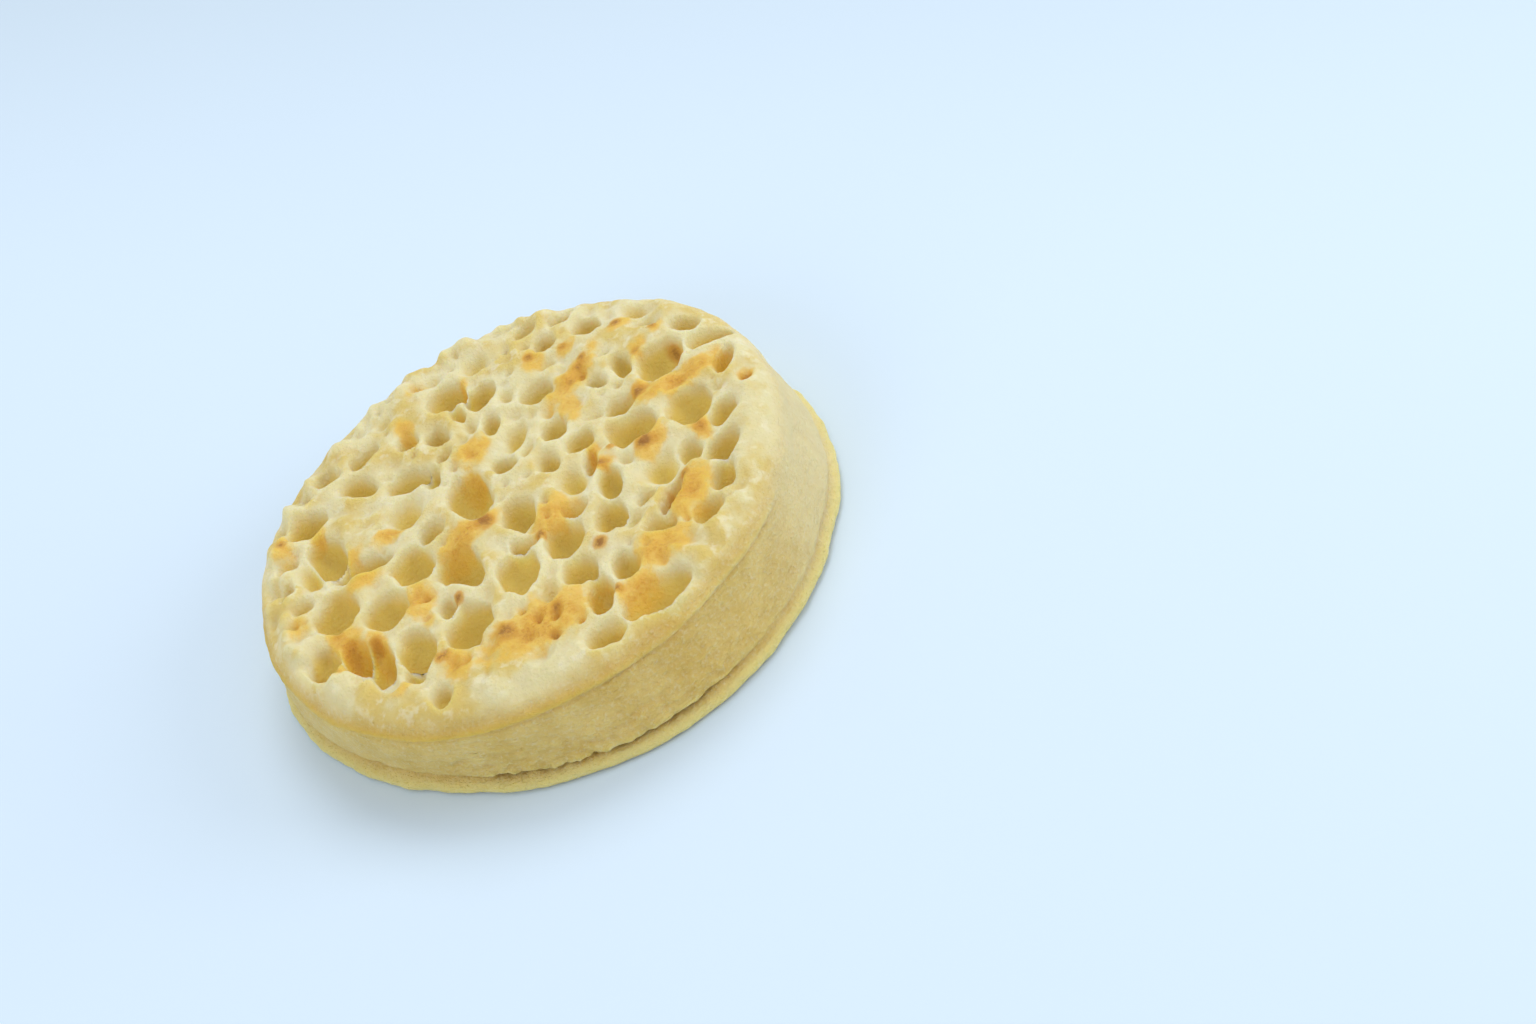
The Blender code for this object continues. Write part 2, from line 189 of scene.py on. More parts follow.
# Brown spots inside the patches: x, y, radius, strength
SPOTS = (
    (-8.7, -28.5, 1.4, 0.8), (-0.7, -28.3, 0.7, 0.7), (-2.4, -32.6, 0.6, 0.6), (8.0, -31.0, 0.8, 0.7),
    (0.7, -12.3, 0.8, 0.8), (-6.0, -4.5, 1.1, 1.0), (-18.0, -26.3, 1.0, 0.8), (-13.3, -16.0, 0.8, 0.8),
    (8.3, -20.3, 0.9, 0.9), (-36.0, 12.5, 0.8, 0.8), (13.3, 16.3, 0.6, 0.7), (15.2, 18.7, 0.6, 0.7),
    (16.2, 20.2, 0.7, 0.8), (12.7, -4.0, 0.8, 0.8), (19.7, -4.8, 1.1, 1.0), (21.8, 7.5, 1.0, 0.8),
    (23.0, 24.3, 0.8, 0.8), (24.0, 15.8, 0.7, 0.6), (28.5, 13.9, 0.7, 0.7), (27.8, 19.0, 0.6, 0.7),
    (8.8, 27.0, 0.7, 0.7), (14.3, 25.3, 0.6, 0.6), (37.0, -0.8, 0.7, 0.7), (15.0, -1.5, 0.6, 0.6),
    (28.0, -6.8, 0.9, 0.6), (23.0, -14.6, 0.7, 0.7), (20.6, -17.0, 0.8, 0.8), (-31.5, -10.6, 0.8, 0.5),
    (-16.2, -29.8, 0.9, 0.4), (-26.7, -16.0, 0.9, 0.5),
)

# A patch is full inside the first of these and gone at the second, in its own half lengths. A spot is gone
# at its edge, in its own sizes, and is more ragged than a patch
PATCH_FADE = (0.1, 1.95)
SPOT_EDGE = 2.0
SPOT_RAGGED = 1.3

# Colours of the batter
SKIN = "#E6DBA8"
SKIN_CLOUD = "#DDC36B"
SKIN_PALE = "#F1E9C4"
WEB_PAINTED_HIGHLIGHT = "#E9E1B6"
SIDE_SKIN = "#EACD7B"
SIDE_CLOUD = "#DEBC62"
SIDE_SPECK = "#F0E6BE"
SIDE_PAINTED_LIGHT = "#EFE3B6"
CREASE_YELLOW = "#E2B84A"
MOIST_CRUMB = "#E7CB62"
TOAST_YELLOW = "#EBC048"
TOAST_GOLD = "#DFAA3C"
TOAST_HEART = "#CC8E30"
SPOT_HALO = "#D6A038"
SPOT_BROWN = "#A06A24"
FOOT_BUTTER = "#F3DB8E"
GRIDDLE_TAN = "#C58A3C"
GRIDDLE_BROWN = "#9A5F27"
CRACK_PAINTED_SHADE = "#6A4A1C"

# Marks stored on the mesh, each from 0 to 1, that the batter's colours follow
MARKS = ("wall", "crack", "crease", "pit", "rim", "toast", "spot", "foot", "under")

# Grain of the baked surface: width of its hills in millimetres, detail, roughness. The crumb's own grain is
# finer than the fine one, which is drawn as coarse as it needs to show
GRAINS = (
    ("broad", 7.0, 3.0, 0.55), ("middle", 2.0, 3.0, 0.55), ("fine", 0.5, 4.0, 0.55),
    ("wrinkles", 1.5, 4.0, 0.6),
)

# The wrinkles are this much flatter than long, and the pin pricks are this many millimetres apart
WRINKLE_STRETCH = (1, 1, 2.6)
PRICKS_APART = 0.9

# Marks broken up by a grain: new name, mark, grain, the grain's range, and how much of the mark it leaves
BROKEN_UP = (
    ("clouded", "toast", "middle", (0.3, 0.62), (0.55, 1.0)),
    ("heart", "clouded", "fine", (0.35, 0.65), (0, 1)),
    ("charred", "spot", "fine", (0.3, 0.6), (0.7, 1.0)),
)

# Colours laid one over the other. Each row gives the colour, what it follows, how it comes in, where on
# that it starts and is full, and how strong it is there
SOFTLY = "SMOOTHSTEP"
EVENLY = "LINEAR"
SIDE_LAYERS = (
    (SIDE_CLOUD, "broad", SOFTLY, (0.35, 0.7), (0, 1)),
    (SIDE_SPECK, "fine", SOFTLY, (0.45, 0.75), (0, 0.4)),
    # The side painted paler on the right: painted light, as from a lamp on that side
    (SIDE_PAINTED_LIGHT, "across", SOFTLY, (22 * MM, 42 * MM), (0, 0.55)),
)
GRIDDLE_LAYERS = ((GRIDDLE_BROWN, "broad", SOFTLY, (0.35, 0.7), (0, 1)),)
BATTER_LAYERS = (
    (SKIN_CLOUD, "broad", SOFTLY, (0.4, 0.62), (0, 0.9)),
    (SKIN_PALE, "middle", SOFTLY, (0.5, 0.7), (0, 0.65)),
    # The webs between pores are thin, and painted palest: a painted highlight where light catches them and
    # glows through
    (WEB_PAINTED_HIGHLIGHT, "rim", SOFTLY, (0.15, 0.8), (0, 0.65)),
    ("side skin", "wall", EVENLY, (0, 1), (0, 1)),
    (CREASE_YELLOW, "crease", EVENLY, (0, 1), (0, 0.85)),
    (MOIST_CRUMB, "pit", SOFTLY, (0.05, 0.6), (0, 0.95)),
    # Golden toasting, orange-brown at its heart, with brown spots
    (TOAST_YELLOW, "clouded", SOFTLY, (0.05, 0.45), (0, 0.85)),
    (TOAST_GOLD, "clouded", SOFTLY, (0.4, 0.85), (0, 0.8)),
    (TOAST_HEART, "heart", SOFTLY, (0.5, 1.0), (0, 0.6)),
    (SPOT_HALO, "spot", SOFTLY, (0.0, 0.4), (0, 0.85)),
    (SPOT_BROWN, "charred", SOFTLY, (0.3, 0.8), (0, 0.85)),
    # The foot is butter yellow on its edge and browned where it lay on the griddle
    (FOOT_BUTTER, "foot", EVENLY, (0, 1), (0, 0.85)),
    ("griddle skin", "under", EVENLY, (0, 1), (0, 1)),
    # The torn crack is painted dark brown: painted shade in the crack
    (CRACK_PAINTED_SHADE, "crack", EVENLY, (0, 1), (0, 0.95)),
)

# The background sheet lies this many millimetres under the crumpet, so that the two faces don't touch. Half
# its width is in metres
FLOOR_GAP = 0.05
FLOOR_HALF = 1.6

# Its colours: the far part is painted shade, greyer. Away is towards the top of the main view and a little to
# its right
PAPER = "#DCEEFD"
PAPER_PAINTED_SHADE = "#BDCEDA"
AWAY = (0.597, 0.802, 0)
PAPER_LAYERS = ((PAPER_PAINTED_SHADE, "away", SOFTLY, (0.04, 0.30), (0, 1)),)

# Light: the studio's white walls, a softbox, and two cards. Place, size in millimetres, watts, colour
STUDIO_WHITE = "#F4F8FF"
STUDIO_STRENGTH = 0.66
LIGHTS = (
    ("softbox above and behind", (260, 640, 960), 700, 4.3, (1.0, 0.99, 0.97)),
    ("white card on the left", (-520, -420, 420), 500, 1.0, (1, 1, 1)),
    ("white card on the right", (760, -160, 330), 500, 2.1, (1, 1, 1)),
)
LIT_POINT = (0, 0, 8)

# Camera: lens in millimetres, place in metres, and which way its right, top and back point
CAMERA_LENS = 67.18
CAMERA_PLACE = (0.03126, -0.32710, 0.27542)
CAMERA_RIGHT = (0.89867, -0.28786, -0.33095)
CAMERA_UP = (0.43862, 0.58977, 0.67807)
CAMERA_BACK = (0.0, -0.75453, 0.65626)


def linear(code):
    """A colour written as sRGB hex, in the linear values that a shader takes."""
    parts = [int(code[at:at + 2], 16) / 255 for at in (1, 3, 5)]
    straight = [part / 12.92 if part <= 0.04045 else ((part + 0.055) / 1.055) ** 2.4 for part in parts]
    return (*straight, 1)


def smooth_step(low, high, value):
    """0 up to low, 1 from high on, with a soft rise between them."""
    share = np.clip((value - low) / (high - low), 0, 1)
    return share * share * (3 - 2 * share)


def bell(value, middle, width):
    """A smooth hump: 1 at the middle, fading out over the width on both sides."""
    return np.exp(-(((value - middle) / width) ** 2))


def facing(angle, degrees):
    """1 where the side looks in that direction, down to -1 where it looks away."""
    return np.cos(angle - math.radians(degrees))


def waver(rounds, angle):
    """How far the outline strays from a circle: waves per turn, size and direction of each wave."""
    return sum(size * np.cos(order * angle - math.radians(turn)) for order, size, turn in rounds)


def lumps(points, width, seed):
    """Smooth noise between about -1 and 1 at each point, its hills width millimetres apart."""
    places = (points / width + (seed * 7.3, seed * 3.1, seed * 5.7)).tolist()
    return np.array([noise.noise(place) for place in places])


def layered(points, layers):
    """Several sizes of lumps, added up."""
    return sum(height * lumps(points, width, seed) for height, width, seed in layers)


def side_profile():
    """Radius and height of the turned outline, from the underside's middle to the edge of the top sheet."""
    outline = list(FOOT_OUTLINE)
    wall_top = THICKNESS - SHOULDER_RADIUS
    for row in range(1, WALL_ROWS + 1):
        risen = row / WALL_ROWS
        flare = WALL_FLARE * (1 - risen) ** WALL_FLARE_POWER
        belly = WALL_BELLY * math.sin(math.pi * risen)
        outline.append((WALL_RADIUS + flare + belly, WALL_FOOT + (wall_top - WALL_FOOT) * risen))
    return outline


def top_sheet(shape, rim_radius):
    """A square grid drawn round into a disc, its cells one size all over, and bent down at its edge."""
    made = bmesh.ops.create_grid(shape, x_segments=TOP_CELLS, y_segments=TOP_CELLS, size=1)
    bend = math.pi / 2 * SHOULDER_RADIUS
    flat = rim_radius - SHOULDER_RADIUS
    for vert in made["verts"]:
        x, y = vert.co.x, vert.co.y
        out = max(abs(x), abs(y))
        if out < 1e-9:
            vert.co = (0, 0, THICKNESS * MM)
            continue
        if abs(x) >= abs(y):
            angle = math.pi / 4 * y / x + (math.pi if x < 0 else 0)
        else:
            angle = math.pi / 2 - math.pi / 4 * x / y + (math.pi if y < 0 else 0)
        along = out * (flat + bend)
        turned = max(0.0, along - flat) / SHOULDER_RADIUS
        radius = min(along, flat) + SHOULDER_RADIUS * math.sin(turned)
        height = THICKNESS - SHOULDER_RADIUS * (1 - math.cos(turned))
        vert.co = (radius * math.cos(angle) * MM, radius * math.sin(angle) * MM, height * MM)


def side_sheet(shape, outline):
    """A sheet wrapped once round, from the middle of the underside up to the edge of the top sheet."""
    rows = len(outline) - 1
    made = bmesh.ops.create_grid(shape, x_segments=SIDE_STEPS, y_segments=rows, size=1)
    for vert in made["verts"]:
        angle = math.pi * vert.co.x
        radius, height = outline[round((vert.co.y + 1) / 2 * rows)]
        vert.co = (radius * math.cos(angle) * MM, radius * math.sin(angle) * MM, height * MM)


def turned_body():
    """The two sheets, joined where they meet."""
    shape = bmesh.new()
    outline = side_profile()
    top_sheet(shape, outline[-1][0])
    side_sheet(shape, outline)
    bmesh.ops.remove_doubles(shape, verts=shape.verts, dist=WELD * MM)
    return shape


def scattered(taken, count, radii, gap, seed):
    """Small round pores dropped at random on bare skin, that far from every other pore."""
    draw = random.Random(seed)
    taken = [(x, y, (a + b) / 2) for x, y, a, b, _ in taken]
    made = []
    for _ in range(FILL_TRIES):
        if len(made) == count:
            break
        radius = draw.uniform(*radii)
        out = FACE_LIMIT * math.sqrt(draw.random())
        angle = draw.uniform(0, math.tau)
        x, y = out * math.cos(angle), out * math.sin(angle)
        if all(math.hypot(x - px, y - py) > pr + radius + gap for px, py, pr in taken):
            taken.append((x, y, radius))
            made.append((x, y, radius, radius * 0.8, math.degrees(angle)))
    return tuple(made)


def in_ellipse(x, y, ellipse):
    """Each place's distance from the ellipse's middle, in shares of the way to its outline."""
    cx, cy, long_half, short_half, turn = ellipse
    c, s = math.cos(math.radians(turn)), math.sin(math.radians(turn))
    along = (x - cx) * c + (y - cy) * s
    across = (y - cy) * c - (x - cx) * s
    return np.sqrt((along / long_half) ** 2 + (across / short_half) ** 2)


def rim_and_lip(q, size, depth, side):
    """How much each place round a pore is rounded off, and how much of the raised near lip it is."""
    away = np.maximum(0, q - 1) * size
    # The rim rounds over widely on the far side, where the wall slopes, and stays crisp on the near side
    width = (NEAR_RIM + (FAR_RIM - NEAR_RIM) * side ** 1.5) * min(1.0, size / 2.4)
    rim = np.exp(-((away / width) ** 1.5)) * min(1.0, 0.25 + size / 3.4) * min(1.0, depth)
    lip = bell(away, 0.7, 0.5) * (1 - side) * min(1.0, depth / 2)
    return rim, np.where(q > 1, lip, 0)


def burst_bubble(q, depth, swollen):
    """How deep each place in a pore goes, and how far its wall swells out under the mouth."""
    inner = np.clip(1 - q, 0, 1)
    if not swollen:
        return depth * np.sin(inner * math.pi / 2) ** 1.7, np.zeros_like(inner)
    bow = inner * (math.pi / 2 + BUBBLE_SWELL) - BUBBLE_SWELL
    down = depth * (np.sin(bow) + math.sin(BUBBLE_SWELL)) / (1 + math.sin(BUBBLE_SWELL))
    reach = np.cos(bow) / math.cos(BUBBLE_SWELL) / np.maximum(q, 0.02)
    return down, np.where(q < 0.05, 1.0, np.clip(reach, 0.3, 2)) - 1


def pore_field(x, y, top):
    """For each point: how far the pores sink it and shift it sideways, and how near a rim or a lip it is."""
    count = len(x)
    flat = np.stack([x, y, np.zeros(count)], 1)
    wobble, ragged, uneven = np.zeros((3, count))
    for values, width, seed in ((wobble, 2.8, 1), (ragged, 1.2, 2), (uneven, 2.0, 3)):
        values[top] = lumps(flat[top], width, seed)
    pins = scattered(PORES + BOWLS, *PINS)
    dimples = scattered(PORES + BOWLS + pins, *DIMPLES)
    pores = [(pore, PORE_DEPTH_SHARE) for pore in PORES + pins]
    pores += [(pore, BOWL_DEPTH_SHARE) for pore in BOWLS]
    pores += [(pore, DIMPLE_DEPTH_SHARE) for pore in dimples]
    rim, lip = np.zeros((2, count))
    # The deepest claim on each point and the next deepest: weight, sink, shift along X and Y
    first, second = np.zeros((2, 4, count))
    for pore, share in pores:
        cx, cy, a, b, _ = pore
        size = (a + b) / 2
        depth = min(MOST_DEPTH, share * (a + b))
        near = np.flatnonzero(top & (np.hypot(x - cx, y - cy) < a + RIM_REACH))
        px, py = x[near] - cx, y[near] - cy
        q = in_ellipse(x[near], y[near], pore) / PORE_SPREAD
        q = q * (1 + PORE_WOBBLE * wobble[near]) + PORE_RAGGED * ragged[near] / max(1, size)
        q = np.maximum(0, q)
        side = np.clip(0.5 + 0.5 * py / (np.hypot(px, py) + 1e-6), 0, 1)
        one_rim, one_lip = rim_and_lip(q, size, depth, side)
        rim[near] += one_rim
        lip[near] = np.maximum(lip[near], one_lip)
        down, swell = burst_bubble(q, depth, share >= PORE_DEPTH_SHARE and size >= LEAST_SWOLLEN)
        claim = np.stack([np.clip(1 - q, 0, 1) * size, down, px * swell, py * swell])
        won = claim[0] > first[0, near]
        second[:, near[won]] = first[:, near[won]]
        first[:, near[won]] = claim[:, won]
        next_best = ~won & (claim[0] > second[0, near])
        second[:, near[next_best]] = claim[:, next_best]
    # Where two pores meet, a thin web of batter stands between them
    apart = first[0] - second[0]
    clear = smooth_step(0, 0.45, apart / np.maximum(first[0], 1e-6))
    sink = first[1] * (0.5 + 0.5 * clear) + second[1] * (0.5 - 0.5 * clear)
    web = bell(apart, 0, WEB_WIDTH) * smooth_step(0, 0.4, second[0])
    sink *= (1 - WEB_HEIGHT * web) * (1 + PORE_UNEVEN * uneven)
    return sink, first[2:] * clear, 1 - np.exp(-rim), lip


def evened(values, edges, rounds):
    """Draws each point's value half way to the mean of its neighbours' values, that many times."""
    count = np.bincount(edges.ravel(), minlength=len(values))
    for _ in range(rounds):
        total = np.bincount(edges[:, 0], values[edges[:, 1]], len(values))
        total += np.bincount(edges[:, 1], values[edges[:, 0]], len(values))
        values = (values + total / count) / 2
    return values


def dig_pores(co, top, edges):
    """Pushes the pores into the face. Returns the points, how deep in a pore each is, and how near a rim."""
    sink, shift, soft, lip = pore_field(co[:, 0], co[:, 1], top)
    sink = evened(sink, edges, 1)
    shift = [evened(one, edges, 4) for one in shift]
    moved = co.copy()
    moved[:, 0] += shift[0]
    moved[:, 1] += shift[1] - PORE_LEAN * sink
    moved[:, 2] += NEAR_LIP * lip - sink - RIM_DROP * soft
    return moved, np.clip(sink / FULL_PIT, 0, 1), soft


def torn_foot(ring, height, angle):
    """Over the foot: a torn crack at the front, a hollow on the left, next to nothing on the right."""
    ground = ring * (1, 1, 0)
    front = smooth_step(0.78, 1.0, facing(angle, CRACK_FACES) + 0.12 * lumps(ground, 14, 7))
    hollow = smooth_step(0.3, 0.9, facing(angle, HOLLOW_FACES))
    torn = front * smooth_step(-0.5, 0.15, layered(ground, CRACK_BREAKS))
    torn = torn * bell(height, CRACK_HEIGHT + layered(ground, CRACK_WANDER), CRACK_WIDTH)
    waist = bell(height, CRACK_HEIGHT, WAIST_WIDTH)
    push = -CRACK_DEPTH * torn - (WAIST_DEPTH + HOLLOW_DEPTH * hollow) * waist
    push += bell(height, 3.3, 0.7) * front * (CRUMB_SWELL + layered(ring, CRUMBS))
    puckered = smooth_step(0.5, 1.0, facing(angle, PUCKERS_FACE) + 0.5 * lumps(ring, 8, 29))
    puckered *= (1 - smooth_step(6, 10, height)) * smooth_step(2.6, 3.4, height)
    push += PUCKER_DEPTH * puckered * lumps(ring * (0.8, 0.8, 1.3), 1.3, 30)
    return push, torn


def shoulder_crease(ring, height, angle):
    """The crease where the wall meets the shoulder, which hangs over it a little."""
    ground = ring * (1, 1, 0)
    middle = CREASE_HEIGHT + 0.5 * lumps(ground, 16, 11)
    present = smooth_step(-0.1, 0.5, 0.5 * lumps(ground, 16, 12) + facing(angle, CREASE_FACES))
    over = bell(height, middle + 0.45, 0.5)
    beneath = bell(height, middle - 0.4, 0.35)
    push = CREASE_DEPTH * present * (over - beneath)
    yellow = smooth_step(0.35, 0.9, facing(angle, YELLOW_CREASE_FACES))
    return push, yellow * present * bell(height, middle + 0.5, 0.7)


def wall_folds(ring, height):
    """Short level folds in the wall."""
    on_wall = smooth_step(5, 7, height) * (1 - smooth_step(11, 12, height))
    folds = bell(lumps(ring * (0.35, 0.35, 2.2), 2.2, 13), 0, 0.16) * on_wall
    return -FOLD_DEPTH * folds * smooth_step(-0.1, 0.35, lumps(ring, 11, 14))


def unevenness(co, height, angle):
    """Pushes the turned form out of true. Returns the points, and the marks that the colours need."""
    radius = np.hypot(co[:, 0], co[:, 1])
    risen = smooth_step(2.5, 12, height)
    wide = waver(FOOT_WAVER, angle) * (1 - risen) + waver(WALL_WAVER, angle) * risen
    radius = radius + wide * radius / FOOT_RADIUS
    outer = smooth_step(38, 40.5, radius)
    above_ground = smooth_step(0.0, 1.2, height)
    ring = np.stack([FOOT_RADIUS * np.cos(angle), FOOT_RADIUS * np.sin(angle), height], 1)
    push = sum(size * lumps(ring * (1, 1, flat), width, seed) for size, width, seed, flat in SIDE_LUMPS)
    foot_edge = (1 - smooth_step(1.4, 2.2, height)) * above_ground
    push += foot_edge * layered(ring * (1, 1, 0), FOOT_EDGE_LUMPS)
    crack_push, crack = torn_foot(ring, height, angle)
    crease_push, crease = shoulder_crease(ring, height, angle)
    radius += outer * (push + crack_push + crease_push + wall_folds(ring, height))
    x, y = radius * np.cos(angle), radius * np.sin(angle)
    flat = np.stack([x, y, np.zeros_like(x)], 1)
    face = smooth_step(THICKNESS - 3.5, THICKNESS - 0.3, height)
    far_edge = smooth_step(-0.2, 0.6, facing(angle, LUMPY_EDGE_FACES))
    edge_lumps = (0.35 + 2.3 * far_edge) * layered(flat, FAR_EDGE_LUMPS) * bell(radius, 39, 2.8)
    foot_lumps = 0.22 * lumps(flat, 5, 19) * (1 - smooth_step(2, 3.4, height))
    z = height * (1 + (LEAN_X * x + LEAN_Y * y) / THICKNESS)
    z = z + face * (layered(flat, FACE_HILLS) + edge_lumps) + above_ground * foot_lumps
    marks = {"wall": outer * (1 - face), "crack": crack * outer, "crease": crease * outer}
    return np.stack([x, y, z], 1), marks


def toasting(x, y):
    """How toasted each place is, and how much of a brown spot."""
    ragged = layered(np.stack([x, y, np.zeros_like(x)], 1), PATCH_EDGES)
    toast, spot = np.zeros((2, len(x)))
    for *ellipse, strength in TOASTED:
        q = in_ellipse(x, y, ellipse) + ragged
        toast = np.maximum(toast, strength * (1 - smooth_step(*PATCH_FADE, q)))
    for cx, cy, size, strength in SPOTS:
        q = np.hypot(x - cx, y - cy) / size + SPOT_RAGGED * ragged
        spot = np.maximum(spot, strength * (1 - smooth_step(0.0, SPOT_EDGE, q)))
    return toast, spot


def crumpet_mesh():
    shape = turned_body()
    mesh = bpy.data.meshes.new("crumpet crumb")
    bmesh.ops.recalc_face_normals(shape, faces=shape.faces)
    shape.to_mesh(mesh)
    shape.free()
    co = np.empty(len(mesh.vertices) * 3, np.float32)
    mesh.vertices.foreach_get("co", co)
    co = co.reshape(-1, 3).astype(float) / MM
    edges = np.empty(len(mesh.edges) * 2, np.int32)
    mesh.edges.foreach_get("vertices", edges)
    angle = np.arctan2(co[:, 1], co[:, 0])
    height = co[:, 2].copy()
    base, marks = unevenness(co, height, angle)
    top = height > THICKNESS - SHOULDER_RADIUS + 0.6
    co, pit, soft = dig_pores(base, top, edges.reshape(-1, 2))
    mesh.vertices.foreach_set("co", (co * MM).astype(np.float32).ravel())
    toast, spot = toasting(base[:, 0], base[:, 1])
    marks.update({"pit": pit * top, "rim": soft * top, "toast": toast * top, "spot": spot * top})
    marks["foot"] = 1 - smooth_step(1.5, 2.3, height)
    marks["under"] = 1 - smooth_step(0.0, 0.5, height)
    for name, values in marks.items():
        made = mesh.attributes.new(name, "FLOAT", "POINT")
        made.data.foreach_set("value", np.clip(values, 0, 1).astype(np.float32))
    mesh.shade_smooth()
    return mesh


def add_node(tree, kind, inputs=(), output=0, **settings):
    """Adds a shader node and gives back one output. inputs are values or links, in order or by name."""
    node = tree.nodes.new(kind)
    for name, value in settings.items():
        setattr(node, name, value)
    for key, value in inputs.items() if isinstance(inputs, dict) else enumerate(inputs):
        if isinstance(value, bpy.types.NodeSocket):
            tree.links.new(value, node.inputs[key])
        else:
            node.inputs[key].default_value = value
    return node.outputs[output]


def batter_patterns(tree, place):
    """What the batter's colours and relief follow: marks on the mesh, grains, and marks broken up by them."""
    level = add_node(tree, "ShaderNodeVectorMath", (place, WRINKLE_STRETCH), operation="MULTIPLY")
    patterns = {"across": add_node(tree, "ShaderNodeSeparateXYZ", (place,), "X")}
    for name in MARKS:
        patterns[name] = add_node(tree, "ShaderNodeAttribute", output="Fac", attribute_name=name)
    for name, width, detail, roughness in GRAINS:
        inputs = {"Scale": 1 / (width * MM), "Detail": detail, "Roughness": roughness}
        inputs["Vector"] = level if name == "wrinkles" else place
        patterns[name] = add_node(tree, "ShaderNodeTexNoise", inputs, "Fac")
    for name, mark, grain, limits, shares in BROKEN_UP:
        left = (patterns[grain], *limits, *shares)
        left = add_node(tree, "ShaderNodeMapRange", left, "Result", interpolation_type=SOFTLY)
        product = (patterns[mark], left)
        patterns[name] = add_node(tree, "ShaderNodeMath", product, operation="MULTIPLY", use_clamp=True)
    return patterns


def lay_colours(tree, ground, layers, patterns):
    """Lays each layer's colour over those before it. A colour is a hex code or the name of a pattern."""
    colour = linear(ground)
    for above, pattern, rise, limits, strengths in layers:
        amount = (patterns[pattern], *limits, *strengths)
        amount = add_node(tree, "ShaderNodeMapRange", amount, "Result", interpolation_type=rise)
        above = linear(above) if above.startswith("#") else patterns[above]
        colour = add_node(tree, "ShaderNodeMix", {0: amount, 6: colour, 7: above}, 2, data_type="RGBA")
    return colour


def skin_relief(tree, place, patterns):
    """Short level wrinkles in the side, then fine crumb grain all over, then tiny pin pricks."""
    on_side = (patterns["wrinkles"], patterns["wall"])
    wrinkles = add_node(tree, "ShaderNodeMath", on_side, operation="MULTIPLY", use_clamp=True)
    pricks = add_node(tree, "ShaderNodeTexVoronoi", {"Vector": place, "Scale": 1 / (PRICKS_APART * MM)})
    pricks = (pricks, 0.0, 0.35, 0, 1)
    pricks = add_node(tree, "ShaderNodeMapRange", pricks, "Result", interpolation_type=SOFTLY)
    relief = {}
    for height, strength, depth in ((wrinkles, 1.0, 0.9), (patterns["fine"], 0.9, 0.4), (pricks, 0.25, 0.12)):
        relief.update({"Height": height, "Strength": strength, "Distance": depth * MM})
        relief["Normal"] = add_node(tree, "ShaderNodeBump", relief, "Normal")
    return relief["Normal"]


def crumb_material():
    # Batter baked on a griddle and toasted. It is matt, and light goes a little way in, so that the cream
    # skin glows softly. The open pores show moist yellow crumb, and toasting turns the skin gold and brown
    made = bpy.data.materials.new("toasted crumpet batter")
    made.use_nodes = True
    tree = made.node_tree
    shader = tree.nodes["Principled BSDF"]
    place = add_node(tree, "ShaderNodeTexCoord", output="Object")
    patterns = batter_patterns(tree, place)
    patterns["side skin"] = lay_colours(tree, SIDE_SKIN, SIDE_LAYERS, patterns)
    patterns["griddle skin"] = lay_colours(tree, GRIDDLE_TAN, GRIDDLE_LAYERS, patterns)
    tree.links.new(lay_colours(tree, SKIN, BATTER_LAYERS, patterns), shader.inputs["Base Color"])
    # Toasted skin is a little shinier
    sheen = (patterns["toast"], 0, 1, 0.62, 0.5)
    sheen = add_node(tree, "ShaderNodeMapRange", sheen, "Result", interpolation_type=SOFTLY)
    tree.links.new(sheen, shader.inputs["Roughness"])
    tree.links.new(skin_relief(tree, place, patterns), shader.inputs["Normal"])
    shader.inputs["IOR"].default_value = 1.45
    shader.inputs["Subsurface Weight"].default_value = 0.65
    shader.inputs["Subsurface Radius"].default_value = (1.0, 0.85, 0.45)
    shader.inputs["Subsurface Scale"].default_value = 3.0 * MM
    return made


def sheet_material():
    # Photographer's background paper, rolled smooth: an even pale blue with hardly any shine, with painted
    # shade making it greyer towards the top of the main view
    made = bpy.data.materials.new("pale blue background paper")
    made.use_nodes = True
    tree = made.node_tree
    shader = tree.nodes["Principled BSDF"]
    place = add_node(tree, "ShaderNodeTexCoord", output="Object")
    away = add_node(tree, "ShaderNodeVectorMath", (place, AWAY), "Value", operation="DOT_PRODUCT")
    tree.links.new(lay_colours(tree, PAPER, PAPER_LAYERS, {"away": away}), shader.inputs["Base Color"])
    shader.inputs["Roughness"].default_value = 0.9
    shader.inputs["Specular IOR Level"].default_value = 0.1
    return made


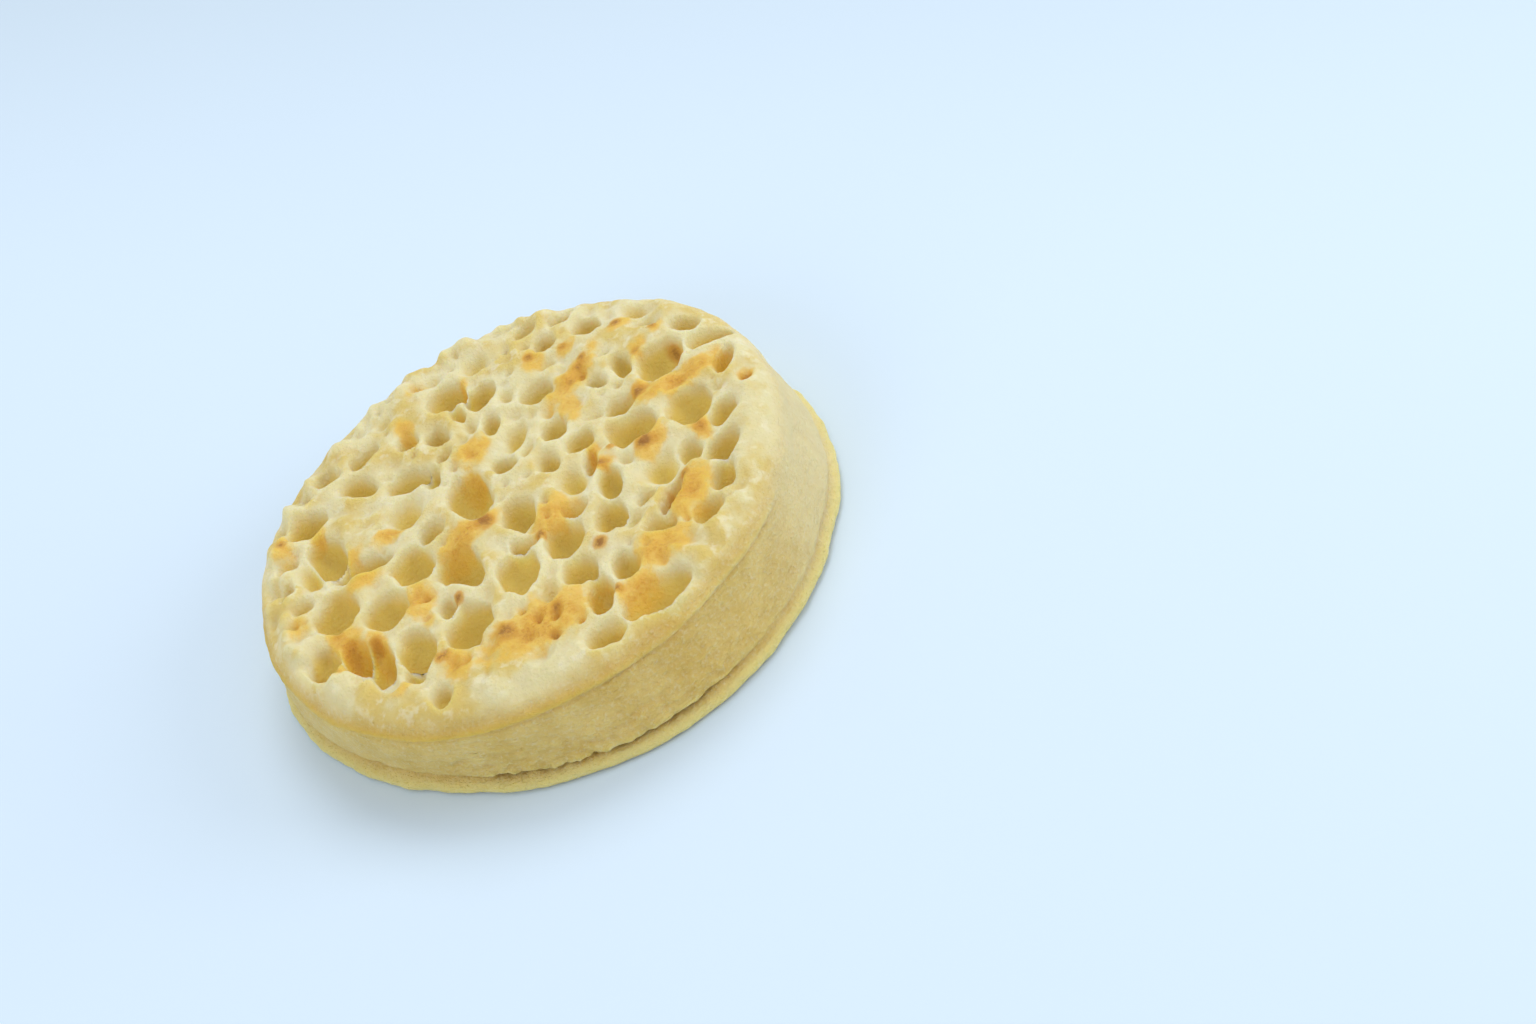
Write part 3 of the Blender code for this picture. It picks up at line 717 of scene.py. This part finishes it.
def add_object(name, data):
    made = bpy.data.objects.new(name, data)
    bpy.context.scene.collection.objects.link(made)
    return made


def aim(thing, place, target):
    """Puts the thing at place, in millimetres, facing the target."""
    start, end = Vector(place) * MM, Vector(target) * MM
    thing.location = start
    thing.rotation_euler = (end - start).to_track_quat("-Z", "Y").to_euler()


def add_light(name, place, size_mm, watts, colour):
    light = bpy.data.lights.new(name, "AREA")
    light.shape = "DISK"
    light.size = size_mm * MM
    light.energy = watts
    light.color = colour
    aim(add_object(name, light), place, LIT_POINT)


def add_camera():
    """A long lens, rolled, so that the flat crumpet fills the picture as if it leaned towards the lens."""
    data = bpy.data.cameras.new("main view")
    data.lens = CAMERA_LENS
    data.sensor_width = 36
    data.clip_start = 0.01
    data.dof.use_dof = False
    camera = add_object("main view", data)
    turn = Matrix((CAMERA_RIGHT, CAMERA_UP, CAMERA_BACK)).transposed().to_4x4()
    camera.matrix_world = Matrix.Translation(CAMERA_PLACE) @ turn
    bpy.context.scene.camera = camera


def main():
    crumpet = add_object("crumpet_with_open_pores", crumpet_mesh())
    crumpet.data.materials.append(crumb_material())
    softened = crumpet.modifiers.new("torn edges softened", "SMOOTH")
    softened.factor = 0.4
    softened.iterations = 1
    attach(crumpet, "root")
    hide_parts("crumpet")

    sheet = bmesh.new()
    bmesh.ops.create_grid(sheet, x_segments=1, y_segments=1, size=FLOOR_HALF)
    bmesh.ops.translate(sheet, verts=sheet.verts, vec=(0, 0, -FLOOR_GAP * MM))
    sheet_mesh = bpy.data.meshes.new("background paper")
    sheet.to_mesh(sheet_mesh)
    sheet.free()
    sheet_mesh.materials.append(sheet_material())
    floor = add_object("background paper", sheet_mesh)

    scene = bpy.context.scene
    scene.view_settings.view_transform = "Standard"
    scene.view_settings.look = "None"
    world = bpy.data.worlds.new("white studio")
    world.use_nodes = True
    glow = world.node_tree.nodes["Background"]
    glow.inputs["Color"].default_value = linear(STUDIO_WHITE)
    glow.inputs["Strength"].default_value = STUDIO_STRENGTH
    scene.world = world
    for light in LIGHTS:
        add_light(*light)
    add_camera()


main()
